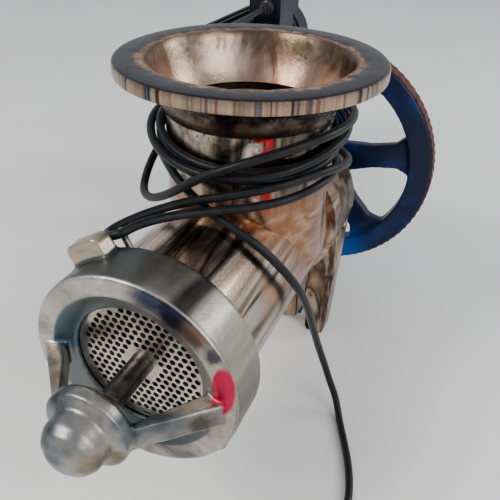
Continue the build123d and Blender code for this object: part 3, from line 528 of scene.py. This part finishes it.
def lathe(outline, name, axis, centre, steps):
    """Turns a closed outline of (radius, along) points about an axis through centre."""
    work = bmesh.new()
    axis = Vector(axis)
    side = Vector((1.0, 0.0, 0.0))
    verts = [work.verts.new(Vector(centre) + side * r + axis * h) for r, h in outline]
    edges = [work.edges.new(pair) for pair in zip(verts, verts[1:] + verts[:1])]
    bmesh.ops.spin(work, geom=verts + edges, cent=centre, axis=axis, angle=2 * math.pi, steps=steps,
                   use_merge=True)
    return to_mesh(work, name, 35.0)


def softened(name, nodes, slot, body, voxel, passes):
    """A casting made from CAD nodes: their sharp inner corners and edges are rounded off."""
    work = bmesh.new()
    for node in nodes:
        work.from_mesh(frame["nodes"][node].data)
    bmesh.ops.remove_doubles(work, verts=work.verts[:], dist=1e-6)
    mesh = bpy.data.meshes.new(name)
    work.to_mesh(mesh)
    work.free()
    rough = bpy.data.objects.new(name + "_rough", mesh)
    bpy.context.scene.collection.objects.link(rough)
    grain = rough.modifiers.new("grain", "REMESH")
    grain.mode = "VOXEL"
    grain.voxel_size = voxel
    soft = rough.modifiers.new("soft", "SMOOTH")
    soft.factor = 0.5
    soft.iterations = passes
    bpy.context.view_layer.update()
    done = bpy.data.meshes.new_from_object(rough.evaluated_get(bpy.context.evaluated_depsgraph_get()))
    done.name = name
    bpy.data.objects.remove(rough)
    for polygon in done.polygons:
        polygon.use_smooth = True
    return piece(name, done, slot, body, nodes)


# ---- the mains lead ----
NECK_STEP = 20.0
COIL_STEP = 24.0
CORD_FLOOR = -165.0 + 3.25
COIL_CENTRE = (172.0, -232.0)
PLUG_TAIL_LENGTH = 0.016

# from the terminal box to the neck, then each later stretch in turn, as drawing points
LEAD = [
    (-116, 303, 123), (-117, 270, 121), (-118.5, 237, 119.5), (-117.5, 205, 120.5), (-113, 176, 121),
    (-105, 146, 118), (-94, 116, 112), (-84, 86, 106), (-76, 58, 102), (-71.5, 34, 100.5),
]
# turns on the neck: (degrees round it, radius, height) in millimetres
NECK_TURNS = [
    (168, 69.5, 101), (200, 68.2, 104), (222, 68.2, 97.5), (240, 68.2, 93), (258, 68.2, 90),
    (300, 68.2, 88.5), (340, 68.2, 90), (380, 68.2, 98), (440, 68.2, 100), (520, 68.2, 109),
    (560, 68.2, 111), (582, 68.2, 104.5), (618, 68.2, 97), (660, 68.2, 95.5), (700, 68.2, 97),
    (740, 68.2, 105.5), (800, 68.2, 108), (850, 75.4, 109), (915, 75.4, 108), (942, 75.4, 101),
    (978, 75.4, 93.5), (1010, 75.4, 93.5), (1040, 75.5, 100), (1070, 75.5, 107.5), (1120, 75.4, 110.5),
    (1160, 76, 98), (1190, 75.5, 89.5), (1240, 76, 87),
]
SLACK_TURN = [
    (180, 77.5, 80), (198, 80.5, 67), (211, 84, 57.5), (221, 85, 55.5), (232, 83.5, 59), (244, 82.2, 68),
    (257, 82.6, 81), (270, 82.8, 95), (284, 82.8, 105), (299, 82.2, 112.5), (315, 81.8, 118),
    (335, 80.5, 120.5), (358, 79.4, 119), (20, 80, 117.5), (40, 81, 117), (56.6, 82, 116), (63.9, 83, 113.2),
    (69.2, 83.5, 105.5), (71.1, 83.5, 95), (69.2, 83.5, 84.5), (63.9, 83, 76.8), (56.6, 82, 74),
    (40, 81, 73.5), (20, 79.8, 78.5), (0, 78, 85.5), (345, 76.8, 90),
]
STUD_LOOP = [
    (64, -41, 91), (44, -63, 87.5), (16, -76, 81), (-8, -86, 76.5), (-24, -102, 74), (-36, -118, 71),
    (-43, -130, 68), (-40, -139, 69.5), (-33, -141.5, 73), (-27, -139, 75), (-24, -130, 76),
    (-18, -116, 75), (-6, -100, 74), (10, -86, 73), (30, -74, 74), (52, -56, 76), (67, -32, 79),
]
RETURN_TURN = [(358, 71, 79), (380, 68.2, 79), (500, 68.2, 79), (540, 68.2, 82), (570, 68.6, 86)]
TAIL = [
    (-45, -53, 87), (-24, -69, 79.5), (2, -80, 70), (26, -84, 62), (47, -82, 50), (63, -75, 30),
    (71, -61, 6), (73, -44, -22), (74, -28, -52), (77, -14, -84), (83, -4, -114), (89, -1, -135),
    (96, -2, CORD_FLOOR + 12), (102, -9, CORD_FLOOR + 1.5), (108, -22, CORD_FLOOR), (118, -42, CORD_FLOOR),
    (129, -66, CORD_FLOOR), (137, -94, CORD_FLOOR), (138, -124, CORD_FLOOR), (132, -156, CORD_FLOOR),
    (127, -190, CORD_FLOOR), (129, -216, CORD_FLOOR),
]
# turns of the put-away coil: (degrees, radius, height over the floor turn) in millimetres
COIL_TURNS = [
    (180, 41.4, 0), (440, 41.4, 0), (510, 34.6, 0), (738, 34.6, 0), (800, 34.6, 6.7), (1020, 34.6, 6.7),
    (1090, 41.4, 6.7), (1250, 41.4, 6.7), (1300, 40, 12.5), (1345, 38.5, 17.5), (1385, 38, 19.6),
]
PLUG_END = [(204.8, -253.5, CORD_FLOOR + 19.75), (206, -243, CORD_FLOOR + 19.75)]


def between(stations, degrees):
    """Radius and height of the turns at that many degrees round."""
    for (d0, r0, h0), (d1, r1, h1) in zip(stations, stations[1:]):
        if degrees <= d1:
            share = (degrees - d0) / (d1 - d0)
            return r0 + (r1 - r0) * share, h0 + (h1 - h0) * share
    return stations[-1][1:]


def wound(stations, step, centre=(0.0, 0.0), floor=0.0):
    """Route points of turns round an upright line, a step of degrees apart."""
    first, last = stations[0][0], stations[-1][0]
    count = round((last - first) / step)
    drawn_in = 1.0 - (1.0 - math.cos(math.radians(step))) / 4.0
    points = []
    for i in range(count + 1):
        degrees = first + (last - first) * i / count
        radius, height = between(stations, degrees)
        turn = math.radians(degrees)
        points.append((centre[0] + radius / drawn_in * math.cos(turn),
                       centre[1] + radius / drawn_in * math.sin(turn), floor + height))
    return points


def cord_points():
    slack = [(r * math.cos(math.radians(d)), r * math.sin(math.radians(d)), h) for d, r, h in SLACK_TURN]
    return (LEAD + wound(NECK_TURNS, NECK_STEP) + slack + STUD_LOOP + wound(RETURN_TURN, NECK_STEP) + TAIL
            + wound(COIL_TURNS, COIL_STEP, COIL_CENTRE, CORD_FLOOR) + PLUG_END)


def line_length(points):
    return sum((b - a).length for a, b in zip(points, points[1:]))


def make_cord():
    radius = sizes().cord_diameter / 2
    data = bpy.data.curves.new("mains_cord", "CURVE")
    data.dimensions = "3D"
    data.resolution_u = 6
    spline = data.splines.new("NURBS")
    points = [place(*p) for p in cord_points()]
    spline.points.add(len(points) - 1)
    for spot, point in zip(spline.points, points):
        spot.co = (*point, 1.0)
    spline.order_u = 3
    spline.use_endpoint_u = True
    cord = bpy.data.objects.new("mains_cord", data)
    bpy.context.scene.collection.objects.link(cord)
    bpy.context.view_layer.update()
    bare = bpy.data.meshes.new_from_object(cord)
    length = line_length([v.co.copy() for v in bare.vertices])
    bpy.data.meshes.remove(bare)
    data.bevel_depth = radius
    data.bevel_resolution = 3
    data.use_fill_caps = True
    data.materials.append(FINISHES["cord_pvc"])
    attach(cord, "frame")
    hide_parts("cord_lead", "cord_winding", "cord_front_loop", "cord_tail", "cord_coil")
    return cord, length, points[0]


def ribs(pitch, wide, flare, land, groove):
    """Outline of a sleeve's five ribs, each flare wider than the last, with a groove after each land."""
    outline = [(0.0033, 0.0), (0.0046, 0.0)]
    for rib in range(5):
        start = 0.0006 + rib * pitch
        edge = wide + rib * flare
        outline += [(edge, start), (edge, start + land), (edge - groove, start + land + 0.0003),
                    (edge - groove + 0.0001, start + pitch - 0.0001)]
    return outline


def make_boot():
    """Nut and ribbed, tapered boot where the lead leaves the terminal box."""
    low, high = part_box("cable_gland")
    x, z = (low.x + high.x) / 2, (low.z + high.z) / 2
    outline = ribs(0.0023, 0.0049, 0.00038, 0.0013, 0.0009)
    outline += [(0.0070, 0.0122), (0.0083, 0.0130), (0.0085, 0.0140), (0.0085, 0.0215), (0.0058, 0.0220),
                (0.0058, 0.0300), (0.0033, 0.0300)]
    mesh = lathe(outline, "cord_boot", (0.0, 1.0, 0.0), (x, low.y, z), 48)
    return piece("cord_boot", mesh, "black_plastic", "frame", ["cable_gland"])


def make_plug():
    """Moulded two-pin plug with a waisted grip and a ribbed tail."""
    low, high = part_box("plug_body")
    middle = (low + high) / 2
    back = low.y + PLUG_TAIL_LENGTH
    work = bmesh.new()
    bmesh.ops.create_cube(work, size=1.0)
    length = high.y - back
    bmesh.ops.scale(work, vec=(high.x - low.x, length, high.z - low.z), verts=work.verts[:])
    bmesh.ops.translate(work, vec=(middle.x, (high.y + back) / 2, middle.z), verts=work.verts[:])
    across = [e for e in work.edges if abs((e.verts[0].co - e.verts[1].co).y) > length / 2]
    bmesh.ops.subdivide_edges(work, edges=across, cuts=6, use_grid_fill=True)
    for vert in work.verts:
        share = (vert.co.y - back) / length
        taper = max(0.0, 0.25 - share) / 0.25
        waist = 0.16 * math.exp(-((share - 0.45) / 0.22) ** 2)
        vert.co.x = middle.x + (vert.co.x - middle.x) * (1.0 - waist - 0.30 * taper)
        vert.co.z = middle.z + (vert.co.z - middle.z) * (1.0 - 0.35 * taper)
    rims = [e for e in work.edges if e.calc_face_angle(0.0) > 0.9]
    bmesh.ops.bevel(work, geom=rims, offset=0.004, segments=4, profile=0.5, affect="EDGES", material=-1)
    shell = piece("plug_shell", to_mesh(work, "plug_shell", 50.0), "black_plastic", "frame", ["plug_body"])
    outline = ribs(0.0034, 0.0050, 0.0005, 0.0022, 0.0012) + [(0.0072, 0.0185), (0.0033, 0.0190)]
    tail = piece("plug_tail", lathe(outline, "plug_tail", (0.0, 1.0, 0.0), (middle.x, low.y, middle.z), 40),
                 "black_plastic", "frame")
    return shell, tail


# ---- the belt ----
BELT_OUTER_R = 0.128
PULLEY_OUTER_R = 0.0325
BELT_DEPTH = 0.009
STEPS_PER_COG = 4


def belt_path():
    """Wrap angles and straight length of the belt's outer face."""
    gap = Vector((MOTOR_X - SHAFT.x, MOTOR_Z - SHAFT.z))
    half = math.acos((BELT_OUTER_R - PULLEY_OUTER_R) / gap.length)
    lean = math.atan2(gap.y, gap.x)
    return lean - half, lean + half, math.sqrt(gap.length**2 - (BELT_OUTER_R - PULLEY_OUTER_R) ** 2)


def on_belt(distance, inset):
    """(x, z) of a point that far along the belt and that far in from its outer face."""
    upper, lower, straight = belt_path()
    wheel_arc = BELT_OUTER_R * (2 * math.pi - (lower - upper))
    pulley_arc = PULLEY_OUTER_R * (lower - upper)

    def spot(centre, radius, angle):
        return Vector(centre) + (radius - inset) * Vector((math.cos(angle), math.sin(angle)))

    wheel, pulley = (SHAFT.x, SHAFT.z), (MOTOR_X, MOTOR_Z)
    if distance <= wheel_arc:
        return spot(wheel, BELT_OUTER_R, upper - distance / BELT_OUTER_R)
    distance -= wheel_arc
    if distance <= straight:
        start, end = spot(wheel, BELT_OUTER_R, lower), spot(pulley, PULLEY_OUTER_R, lower)
        return start.lerp(end, distance / straight)
    distance -= straight
    if distance <= pulley_arc:
        return spot(pulley, PULLEY_OUTER_R, lower - distance / PULLEY_OUTER_R)
    distance -= pulley_arc
    start, end = spot(pulley, PULLEY_OUTER_R, upper), spot(wheel, BELT_OUTER_R, upper)
    return start.lerp(end, min(1.0, distance / straight))


def make_belt():
    low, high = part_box("v_belt")
    mid_y = (low.y + high.y) / 2
    upper, lower, straight = belt_path()
    total = (BELT_OUTER_R * (2 * math.pi - (lower - upper)) + PULLEY_OUTER_R * (lower - upper) + 2 * straight)
    steps = sizes().cog_count * STEPS_PER_COG
    work = bmesh.new()
    half = [(0.0066, 0.0), (0.0074, 0.0008), (0.0075, 0.003), (0.0058, BELT_DEPTH)]
    section = [(-y, inset) for y, inset in half] + half[::-1]
    verts = [work.verts.new((0.0, y, inset)) for y, inset in section]
    edges = [work.edges.new(pair) for pair in zip(verts, verts[1:] + verts[:1])]
    pitch = total / steps
    bmesh.ops.spin(work, geom=verts + edges, axis=(0, 0, 1), cent=(0, 0, 0), dvec=(pitch, 0, 0), angle=0.0,
                   steps=steps, use_duplicate=False)
    for vert in work.verts:
        step = round(vert.co.x / pitch)
        inset = vert.co.z
        if step % STEPS_PER_COG in (2, 3):
            if inset > BELT_DEPTH * 0.9:
                inset -= sizes().cog_depth
            elif inset < 0.0005:
                inset += sizes().cog_depth * 0.4
        x, z = on_belt(vert.co.x % (total - 1e-7) if step < steps else 0.0, inset)
        vert.co = (x, mid_y + vert.co.y, z)
    bmesh.ops.remove_doubles(work, verts=work.verts[:], dist=2e-5)
    return piece("cogged_belt", to_mesh(work, "cogged_belt", 30.0), "belt_rubber", "frame", ["v_belt"])


# ---- castings and hopper ----
WAVE_FROM_R = 0.070
LIP_WEAR = 0.0006
LIP_WAVES = ((0.5, 9, 0.0), (0.3, 23, 1.0), (0.2, 47, 0.0))


def make_hopper():
    """Spun bowl with rounded edges; its rim is a little out of true."""
    z = SHAFT.z * 1000
    outline = [
        (50.2, 104), (52.0, 108.2), (56.2, 113.4), (61.0, 119.0), (65.4, 126.2), (69.0, 134.0),
        (71.8, 142.0), (74.2, 150.0), (75.6, 154.6), (76.6, 156.4), (78.4, 157.0), (88.0, 156.8),
        (96.5, 157.0), (98.6, 156.7), (99.7, 155.8), (100.0, 154.4), (100.0, 149.0), (99.7, 147.7),
        (98.8, 147.05), (96.0, 147.0), (84.5, 147.0), (81.6, 146.3), (78.2, 142.0), (74.6, 137.4),
        (71.4, 133.2), (67.5, 125.4), (64.4, 118.6), (64.0, 118.0), (55.95, 118.0), (55.95, 96.0),
        (50.0, 96.0),
    ]
    mesh = lathe([(r * MM, (h + z) * MM) for r, h in outline], "hopper_dish", (0.0, 0.0, 1.0),
                 (SHAFT.x, SHAFT.y, 0.0), 160)
    wave = sizes().rim_wave
    for vert in mesh.vertices:
        offset = vert.co - Vector((SHAFT.x, SHAFT.y, vert.co.z))
        if offset.length > WAVE_FROM_R:
            turn = math.atan2(offset.y, offset.x)
            share = (offset.length - WAVE_FROM_R) / (RIM_R - WAVE_FROM_R)
            vert.co.z -= wave * share * (1.0 + 0.5 * math.sin(2 * turn + 0.7) + 0.3 * math.sin(5 * turn))
            if offset.length < BOWL_R + 0.003 and vert.co.z > RIM_TOP_Z - 0.0055:
                ragged = sum(size * math.sin(waves * turn + start) for size, waves, start in LIP_WAVES)
                vert.co.z -= LIP_WEAR * (1.0 + ragged)
    return piece("hopper_dish", mesh, "hopper_steel", "frame", ["hopper_bowl"])


def make_castings():
    voxel = sizes().cast_voxel
    softened("nut_casting", ["ring_nut", "nose_bridge"], "ring_steel", "ring", voxel, 4)
    softened("wheel_casting", ["pulley_wheel"], "wheel_paint", "shaft", voxel * 1.25, 4)
    softened("pedestal_casting", ["pedestal"], "leg_steel", "frame", voxel * 1.4, 8)


def finish_nodes():
    for part in frame["record"]["subparts"]:
        node = frame["nodes"][part["node"]]
        node.data.materials.clear()
        node.data.materials.append(FINISHES[part["material_slot"]])


# ---- stage ----
LENS = 42.57
SENSOR = 36.0
CAMERA_SPOT = (169.628, -400.108, 273.559)
YAW = -0.394
PITCH = 0.582
ROLL = 0.028


def make_camera():
    ahead = Vector((math.sin(YAW) * math.cos(PITCH), math.cos(YAW) * math.cos(PITCH), -math.sin(PITCH)))
    level = Vector((math.cos(YAW), -math.sin(YAW), 0.0))
    upward = level.cross(ahead)
    right = level * math.cos(ROLL) + upward * math.sin(ROLL)
    top = upward * math.cos(ROLL) - level * math.sin(ROLL)
    data = bpy.data.cameras.new("bench_camera")
    data.lens = LENS
    data.sensor_width = SENSOR
    data.clip_start = 0.01
    camera = bpy.data.objects.new("bench_camera", data)
    turn = Matrix((right, top, -ahead)).transposed().to_4x4()
    camera.matrix_world = Matrix.Translation(place(*CAMERA_SPOT)) @ turn
    bpy.context.scene.collection.objects.link(camera)
    bpy.context.scene.camera = camera


def make_light(name, spot, aim, width, power, tint=(1.0, 1.0, 1.0)):
    data = bpy.data.lights.new(name, "AREA")
    data.shape = "DISK"
    data.size = width
    data.energy = power
    data.color = tint
    light = bpy.data.objects.new(name, data)
    light.location = spot
    light.rotation_euler = (Vector(aim) - Vector(spot)).to_track_quat("-Z", "Y").to_euler()
    bpy.context.scene.collection.objects.link(light)


def make_floor():
    work = bmesh.new()
    bmesh.ops.create_grid(work, x_segments=8, y_segments=8, size=4.0)
    floor = bpy.data.objects.new("studio_floor", to_mesh(work, "studio_floor"))
    floor.location = (0.0, 0.0, -0.0002)
    bpy.context.scene.collection.objects.link(floor)
    made = Finish("pale_floor", 0.0, 0.7)
    cloud = made.noise(made.place, 6.0, 3.0)
    made.paint(made.ramp(cloud, [(0.3, (0.80, 0.80, 0.79)), (0.7, (0.84, 0.84, 0.83))]))
    floor.data.materials.append(made.material)


def make_stage():
    world = bpy.data.worlds.new("studio")
    world.use_nodes = True
    sky = world.node_tree.nodes["Background"]
    sky.inputs["Color"].default_value = (0.93, 0.95, 1.0, 1.0)
    sky.inputs["Strength"].default_value = 0.75
    bpy.context.scene.world = world
    make_light("key", (-0.9, -1.3, 1.5), (0.0, -0.15, 0.15), 0.9, 26.0, (1.0, 0.97, 0.92))
    make_light("fill", (1.4, -0.7, 1.0), (0.0, -0.15, 0.15), 1.1, 12.0)
    make_light("rim", (1.5, 1.0, 1.1), (0.0, 0.0, 0.2), 0.8, 12.0)
    make_floor()


# ---- operators ----
class GrinderOperator(bpy.types.Operator):
    bl_options = {"REGISTER", "UNDO"}

    def work(self):
        raise NotImplementedError

    def execute(self, context):
        self.work()
        return {"FINISHED"}


class GRINDER_OT_stage(GrinderOperator):
    """Sets the camera, lights and floor"""
    bl_idname = "grinder.stage"
    bl_label = "Set the stage"

    def work(self):
        make_camera()
        make_stage()


class GRINDER_OT_finishes(GrinderOperator):
    """Makes every finish and gives the CAD nodes theirs"""
    bl_idname = "grinder.finishes"
    bl_label = "Apply finishes"

    def work(self):
        make_finishes()
        finish_nodes()


class GRINDER_OT_lead(GrinderOperator):
    """Lays the mains lead with its boot and plug"""
    bl_idname = "grinder.lead"
    bl_label = "Lay the mains lead"

    def work(self):
        boot = make_boot()
        shell, tail = make_plug()
        cord, length, leaves = make_cord()


class GRINDER_OT_belt(GrinderOperator):
    """Makes the cogged drive belt"""
    bl_idname = "grinder.belt"
    bl_label = "Make the belt"

    def work(self):
        make_belt()


class GRINDER_OT_hopper(GrinderOperator):
    """Spins the hopper"""
    bl_idname = "grinder.hopper"
    bl_label = "Spin the hopper"

    def work(self):
        make_hopper()


class GRINDER_OT_castings(GrinderOperator):
    """Softens the ring nut, wheel and pedestal castings"""
    bl_idname = "grinder.castings"
    bl_label = "Soften the castings"

    def work(self):
        make_castings()


class GRINDER_PT_panel(bpy.types.Panel):
    bl_label = "Meat grinder"
    bl_idname = "GRINDER_PT_panel"
    bl_space_type = "VIEW_3D"
    bl_region_type = "UI"
    bl_category = "Grinder"

    def draw(self, context):
        for group in (context.scene.grinder_sizes, context.scene.grinder_colours):
            for name in group.__annotations__:
                self.layout.prop(group, name)
        for operator in OPERATORS:
            self.layout.operator(operator.bl_idname)


OPERATORS = (GRINDER_OT_stage, GRINDER_OT_finishes, GRINDER_OT_lead, GRINDER_OT_belt, GRINDER_OT_hopper,
             GRINDER_OT_castings)
CLASSES = (GrinderSizes, GrinderColours, *OPERATORS, GRINDER_PT_panel)


def register():
    for cls in CLASSES:
        bpy.utils.register_class(cls)
    bpy.types.Scene.grinder_sizes = PointerProperty(type=GrinderSizes)
    bpy.types.Scene.grinder_colours = PointerProperty(type=GrinderColours)


def unregister():
    del bpy.types.Scene.grinder_colours
    del bpy.types.Scene.grinder_sizes
    for cls in reversed(CLASSES):
        bpy.utils.unregister_class(cls)


def main():
    register()
    for operator in OPERATORS:
        space, name = operator.bl_idname.split(".")
        getattr(getattr(bpy.ops, space), name)()
    bpy.context.view_layer.update()


if __name__ == "__main__":
    main()
